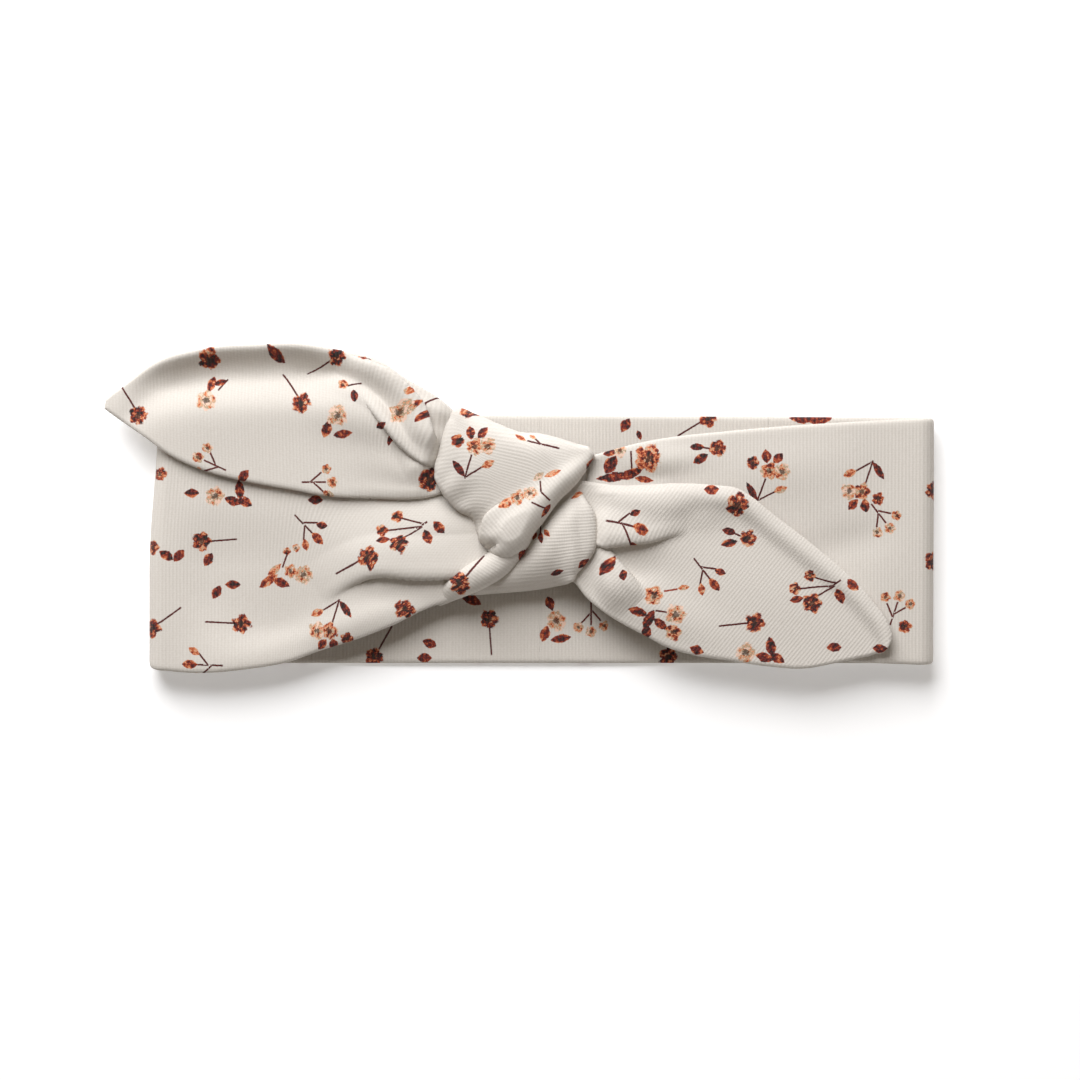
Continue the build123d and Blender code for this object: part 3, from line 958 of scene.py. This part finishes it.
for i in range(round_count):
    k = (i + 1) % round_count
    for ring in range(0, (rings - 1) * round_count, round_count):
        lump_faces.append((ring + k, ring + i, ring + round_count + i, ring + round_count + k))
    last = (rings - 1) * round_count
    lump_faces += [(i, k, rings * round_count), (last + k, last + i, rings * round_count + 1)]
core_mesh = bpy.data.meshes.new("knot_core_cloth")
core_mesh.from_pydata([tuple(p * MM) for p in lump_points], [], lump_faces)
core_uv = core_mesh.uv_layers.new(name="knit")
for loop in core_mesh.loops:
    place = core_mesh.vertices[loop.vertex_index].co
    core_uv.data[loop.index].uv = (place.z / MM / mm_per_uv, (place.x + place.y) / MM / mm_per_uv)
for layer in print_layers:
    attribute = core_mesh.attributes.new(layer, "FLOAT_VECTOR", "CORNER")
    attribute.data.foreach_set("vector", np.tile(np.array(unprinted, np.float32), len(core_mesh.loops)))
core_mesh.materials.append(face_jersey)
core_mesh.polygons.foreach_set("use_smooth", [True] * len(core_mesh.polygons))
knot_core_cloth = bpy.data.objects.new("knot_core_cloth", core_mesh)
show(knot_core_cloth)
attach(knot_core_cloth, "knot")
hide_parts("knot_core")

# The under wrap: the knot's lower, second turn, a short pillow of cloth whose ribs lie level. It
# comes out from below the over wrap and tucks in round the bottom of the knot.
wrap_ply = 1.3
wrap_turned = 0.9
wrap_row_pitch = 0.5
under_from, under_to = -13.6, 14.0
under_across = 28
under_top = 14.3
under_left = [(-25, -16), (-22, -13.6), (-17, -11.0), (-14, -5), (-15, 3), (-14, 14)]
under_right = [
    (-3.0, -16), (7.4, -13.6), (9.3, -11.0), (11.6, -8.4), (13.6, -5.2), (14.4, -0.5), (14.2, 3.2),
    (13.4, 6.6), (11.6, 9.9), (9.5, 14),
]


def run_from_middle(surface, axis):
    """How far each place is from the grid's middle line, measured over the cloth."""
    steps = np.linalg.norm(np.diff(surface, axis=axis), axis=2)
    run = np.cumsum(np.concatenate([np.zeros_like(np.take(steps, [0], axis)), steps], axis), axis)
    return run - np.take(run, [run.shape[axis] // 2], axis)


def between(low, high, width):
    """Rows from one edge of a wrap to the other, along each column."""
    share = edge_rows(width, wrap_row_pitch)
    flat = low[:, None, :] + (high - low)[:, None, :] * share[None, :, None]
    return flat[..., 0], flat[..., 1], share


def pillow(t, power):
    """A wrap's full height across its width, falling to both edges."""
    return np.clip(1 - abs(2 * t - 1) ** power, 0, 1) ** (1 / power)


def dome(w, reach, power, root):
    """A wrap's rise from its tucked start to full height."""
    return np.clip(1 - (1 - np.clip(w / reach, 0, 1)) ** power, 0, 1) ** root


at = np.linspace(under_from, under_to, int(round((under_to - under_from) / column)) + 1)
left_edge, right_edge = follow(under_left, at, 1), follow(under_right, at, 1)
x, y, share = between(right_edge, left_edge, max(np.hypot(*(left_edge - right_edge).T)))
along, t = at[:, None] + 0 * x, share + 0 * x
w = (along - under_from) / (under_to - under_from)
rim = 3.4 + 7.6 * np.maximum(ease(w, 0.5, 1.0), ease(x, 3, 9))
z = rim + (under_top - rim) * pillow(t, 3.2) * dome(w, 0.75, 2.6, 1 / 2.2)
z = z + 0.35 * np.sin(x / 0.95 + y / 9) * ease(x, 5, 10) * ease(w, 0.1, 0.3)
seam_line = line_through([(-12, -7), (-4, -2), (0.5, 4.5), (9.5, 15), (13, 20)], route_points)
from_over, nearest = nearest_on(seam_line, x, y)
hidden_side = ease((seam_line[nearest, 0] - x) - (seam_line[nearest, 1] - y), -1.5, 1.5)
z = z - 3.6 * np.maximum(np.exp(-((from_over / 3.2) ** 2)), hidden_side)
y = y + (0.08 * (x + 12) + 0.006 * np.clip(x + 6, 0, None) ** 2) * (1 - w) ** 1.6
surface = np.stack([x, y, z], -1)
under_print = [
    ("small_buds", 0.6, 2.0, -85), ("leaf", 4.6, -10.2, 10), ("leaf", 11.6, -8.4, 50),
    ("twig", 11.0, 12.4, 120),
]
middle_row, middle_column = x.shape[0] // 2, x.shape[1] // 2
print_x = x[:, [middle_column]] - run_from_middle(surface, 1)
print_y = y[middle_row, middle_column] + run_from_middle(surface, 0)[:, [middle_column]] + 0 * x
knot_under_cloth = cloth_piece(
    "knot_under_cloth", surface, wrap_ply, along, t * under_across, (print_x, print_y, under_print),
    (x, y, scatter((-30, -30), (30, 30), 31)), (False, False), wrap_turned,
)
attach(knot_under_cloth, "knot")
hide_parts("knot_under_wrap")

# The strand between the wraps: the band's own gathered end, seen as a short ribbed roll that comes
# out under the over wrap's nose and narrows to the lower left.
strand_low = [
    (-2.0, 1.0), (-5.0, -4.2), (-8.1, -7.8), (-12.7, -10.9), (-16.6, -12.9), (-21.4, -14.8),
    (-26.6, -16.9),
]
strand_high = [
    (-9.0, 2.0), (-14.0, -4.3), (-17.6, -6.3), (-20.4, -8.0), (-23.6, -10.9), (-25.6, -13.4),
    (-27.4, -16.2),
]
strand_length, strand_width, strand_count = 30, 12, 110
low_line, high_line = line_through(strand_low, strand_count), line_through(strand_high, strand_count)
x, y, share = between(low_line, high_line, strand_width)
w, t = np.linspace(0, 1, strand_count)[:, None] + 0 * x, share + 0 * x
z = 8.6 + 5.0 * pillow(t, 2.4) * (1 - 0.75 * ease(w, 0.45, 1.0)) - 3.4 * ease(w, 0.7, 1.0)
surface = np.stack([x, y, z], -1)
strand_print = [("stalked", -20.7, -11.1, 221), ("leaf", -4.6, -3.4, 50)]
knot_strand_cloth = cloth_piece(
    "knot_strand_cloth", surface, wrap_ply, w * strand_length, t * strand_width,
    (x, y, scatter((-40, -30), (10, 10), 32)), (x, y, strand_print), (False, False), wrap_turned,
)
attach(knot_strand_cloth, "knot")

# The over wrap: the knot's broad upper turn, from the nose at the lower left up to the right. A
# deep crease runs along it, and its ribs lie across it.
over_heading = math.radians(39)
over_top, over_limit = 14.8, 17.4
over_relief = 0.014
over_width, over_row_pitch = 36, 0.32
over_low = [
    (-13.7, -1.9), (-11.9, -3.85), (-10, -4.5), (-6.7, -4.1), (-3.7, -1.7), (-2.3, 1.3), (0.3, 4.6),
    (4.6, 10.5), (9.3, 15.2), (12.2, 19.5), (13.9, 22.5),
]
over_high = [
    (-23.9, 10.6), (-26.3, 14.8), (-26.8, 17.8), (-25.9, 22.2), (-22.9, 31.5), (-21.2, 33.9), (-17, 32.3),
    (-11.3, 29.8), (-6.3, 27.8), (0.3, 27.1), (5.3, 25.8), (9.3, 24.5), (13.6, 23.6),
]
ahead = np.array([math.cos(over_heading), math.sin(over_heading)])
up = np.array([-ahead[1], ahead[0]])


def turned_to(points):
    """Points measured along and across the over wrap."""
    flat = np.array(points)
    return np.column_stack([flat @ ahead, flat @ up])


low_edge, high_edge = turned_to(over_low), turned_to(over_high)
over_start = max(low_edge[0, 0], high_edge[0, 0])
over_end = min(low_edge[-1, 0], high_edge[-1, 0])
at = np.linspace(over_start, over_end, int(round((over_end - over_start) / column)) + 1)
deep, high = follow(low_edge, at)[:, 1], follow(high_edge, at)[:, 1]
share = edge_rows(over_width, over_row_pitch)
v = deep[:, None] + (high - deep)[:, None] * share
u, t = at[:, None] + 0 * v, share + 0 * v
x, y = u * ahead[0] - v * ahead[1], u * ahead[1] + v * ahead[0]
w = (u - over_start) / (over_end - over_start)
start_dip = 2.0 * np.exp(-(((v - 15.5) / 3.0) ** 2)) * (1 - w) ** 8
x, y = x + start_dip * ahead[0], y + start_dip * ahead[1]
rim = 10.5 + (4.6 - 10.5) * ease(t, 0.1, 0.9)
rim = rim + (8.6 - rim) * (1 - ease(w, 0, 0.12)) * ease(t, 0.1, 0.5)
rim = rim + (10.9 - rim) * ease(-x, 17, 23)
z = rim + (over_top - rim) * pillow(t, 2.8) * dome(w, 0.34, 2.2, 0.5)
z = z - (z - 6.5) * 0.5 * ease(w, 0.72, 1.0)
z = z + 0.3 * np.sin(v / 1.25 + 0.4) * (1 - ease(w, 0.05, 0.3)) * (1 - ease(t, 0.8, 0.95))
z = z + mound(x, y, -15, 19, 7, 9, 0.9, 30)


def upper_side(route, nearest):
    """Where the wrap lies on the upper left side of a line along it."""
    return (route[nearest, 0] - x) * 0.6 + (y - route[nearest, 1]) * 0.8 > 0


roll = line_through(
    [(12.5, 21.0, 1.6, 0.3), (8.5, 17.6, 2.4, 1.4), (3.6, 12.9, 3.4, 2.4), (-2.4, 6.8, 4.3, 3.4),
     (-7.4, 1.8, 4.7, 4.2), (-9.6, -0.4, 4.2, 4.0)], route_points,
)
off_roll, nearest = nearest_on(roll, x, y)
on_upper_side = upper_side(roll, nearest)
steep = np.sqrt(np.clip(1 - (off_roll / roll[nearest, 2]) ** 2, 0, 1))
soft = np.exp(-((off_roll / (0.85 * roll[nearest, 2])) ** 2))
z = z + roll[nearest, 3] * np.where(on_upper_side, soft, steep)
z = z - mound(x, y, -11.9, -1.4, 1.5, 2.4, 1.6, -40)
surface = np.stack([x, y, z], -1)
crease_line = [(7.5, 20.0), (5.2, 18.2), (-1.4, 15.0), (-8.1, 10.3), (-11.7, 7.9), (-14.0, 5.4)]
surface = pleat(
    surface, crease_line + [(-15.0, 2.2)],
    (0.0, 0.0, 0.1, 0.5, 1.1, 1.2, 0.8), (0.0, 0.0, 0.0, 0.2, 0.7, 0.9, 0.5), 2.1, side=1,
)
z = surface[..., 2]
surface[..., 2] = z - np.clip(z - over_limit, 0, None) * 0.8
crease = line_through([(14.0, 24.0), *crease_line, (-16.0, -1)], 4 * route_points)
off_crease, nearest = nearest_on(crease, x, y)
above = upper_side(crease, nearest)
crease_run = crease[nearest, 0] * ahead[0] + crease[nearest, 1] * ahead[1]
rib_run = np.where(above, crease_run + 0.75 * off_crease, u)
over_print = [
    ("knot_spray", -16.9, 22.4, 92), ("twig", -4.2, 25.6, 53), ("long_pale", -4.2, 10.6, 88),
    ("small_bloom", -19.4, 33.4, 0), ("leaf", 13.0, 19.5, 60),
]
middle_column = x.shape[1] // 2
print_v = v[:, [middle_column]] + run_from_middle(surface, 1)
print_x, print_y = u * ahead[0] - print_v * ahead[1], u * ahead[1] + print_v * ahead[0]
knot_over_cloth = cloth_piece(
    "knot_over_cloth", surface, wrap_ply, rib_run, v, (print_x, print_y, over_print),
    (x, y, scatter((-40, -20), (30, 45), 33)), (False, False), wrap_turned, over_relief,
)
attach(knot_over_cloth, "knot")
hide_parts("knot_over_wrap")


# The closing stitches: a short row of whip stitches in cream thread that closes the turning gap in
# the back length's upper edge. Each is the same small curved thread, set at an even pitch.
stitch_count = 8
stitch_pitch = 5.0
stitch_first = -90.0
stitch_length = 2.6
thread_thickness = 0.4
thread_facets = 10
stitch_inset, stitch_lift = 0.5, 0.05
least_slant, most_slant = (-0.05, -0.05, 0.14), (0.05, 0.05, 0.34)

thread = Weave("sewing_thread")
twist_feed = {"Vector": thread.add("ShaderNodeTexCoord", output=3), "Scale": 900.0, "Distortion": 1.0}
twist = thread.add("ShaderNodeTexWave", twist_feed, output=1)
thread_cream = thread.blend(twist, dye(214, 202, 188), dye(240, 232, 220))
thread_bump = thread.add("ShaderNodeBump", {"Height": twist, "Strength": 0.3, "Distance": 0.0001})
thread.finish({"Base Color": thread_cream, "Normal": thread_bump, "Roughness": 0.7})

stitch_tree = bpy.data.node_groups.new("whip_stitch_row", "GeometryNodeTree")
stitch_tree.is_modifier = True
face_to = stitch_tree.interface
face_to.new_socket("Row", in_out="INPUT", socket_type="NodeSocketGeometry")
for title, kind, value in (
    ("Count", "NodeSocketInt", stitch_count), ("Length", "NodeSocketFloat", stitch_length * MM),
    ("Thickness", "NodeSocketFloat", thread_thickness * MM), ("Seed", "NodeSocketInt", 4),
):
    socket = face_to.new_socket(title, in_out="INPUT", socket_type=kind)
    socket.default_value = value
face_to.new_socket("Stitches", in_out="OUTPUT", socket_type="NodeSocketGeometry")
group_in = stitch_tree.nodes.new("NodeGroupInput")
group_out = stitch_tree.nodes.new("NodeGroupOutput")


def stitch_node(kind, **settings):
    node = stitch_tree.nodes.new(kind)
    for key, value in settings.items():
        setattr(node, key, value)
    return node


def join(a, out, b, into):
    stitch_tree.links.new(a.outputs[out], b.inputs[into])


def share_of(title, factor):
    node = stitch_node("ShaderNodeMath", operation="MULTIPLY")
    node.inputs[1].default_value = factor
    join(group_in, title, node, 0)
    return node


spots = stitch_node("GeometryNodeCurveToPoints", mode="COUNT")
join(group_in, "Row", spots, "Curve")
join(group_in, "Count", spots, "Count")
arc = stitch_node("GeometryNodeCurveQuadraticBezier")
arc.inputs["Resolution"].default_value = thread_facets
for title, factor, axis, target in (
    ("Length", -0.5, "X", "Start"), ("Length", 0.5, "X", "End"), ("Thickness", 1.2, "Z", "Middle"),
):
    vector = stitch_node("ShaderNodeCombineXYZ")
    join(share_of(title, factor), 0, vector, axis)
    join(vector, 0, arc, target)
round_thread = stitch_node("GeometryNodeCurvePrimitiveCircle")
round_thread.inputs["Resolution"].default_value = thread_facets
join(share_of("Thickness", 0.5), 0, round_thread, "Radius")
sweep = stitch_node("GeometryNodeCurveToMesh")
sweep.inputs["Fill Caps"].default_value = True
join(arc, "Curve", sweep, "Curve")
join(round_thread, "Curve", sweep, "Profile Curve")
slant = stitch_node("FunctionNodeRandomValue", data_type="FLOAT_VECTOR")
slant.inputs[0].default_value, slant.inputs[1].default_value = least_slant, most_slant
join(group_in, "Seed", slant, "Seed")
place_all = stitch_node("GeometryNodeInstanceOnPoints")
join(spots, "Points", place_all, "Points")
join(sweep, "Mesh", place_all, "Instance")
join(slant, 0, place_all, "Rotation")
made, result = place_all, "Instances"
for kind in ("GeometryNodeRealizeInstances", "GeometryNodeSetShadeSmooth", "GeometryNodeSetMaterial"):
    step = stitch_node(kind)
    join(made, result, step, "Geometry")
    made, result = step, "Geometry"
made.inputs["Material"].default_value = thread.material
join(made, result, group_out, "Stitches")

stitch_last = stitch_first + (stitch_count - 1) * stitch_pitch
row_curve = bpy.data.curves.new("closing_row", "CURVE")
row_curve.dimensions = "3D"
row_line = row_curve.splines.new("POLY")
row_line.points.add(1)
for point, at_x in zip(row_line.points, (stitch_first, stitch_last)):
    point.co = (at_x * MM, (back_top(at_x) - stitch_inset) * MM, (ply_pair + stitch_lift) * MM, 1)
row_object = bpy.data.objects.new("closing_row", row_curve)
show(row_object)
sewing = row_object.modifiers.new("sewing", "NODES")
sewing.node_group = stitch_tree
bpy.context.view_layer.update()
finished = row_object.evaluated_get(bpy.context.evaluated_depsgraph_get())
stitch_mesh = bpy.data.meshes.new_from_object(finished)
stitch_mesh.name = "closing_stitch_threads"
closing_stitch_threads = bpy.data.objects.new("closing_stitch_threads", stitch_mesh)
show(closing_stitch_threads)
row_object.modifiers.clear()
bpy.data.objects.remove(row_object)
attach(closing_stitch_threads, "back_left")
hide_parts("closing_stitches")
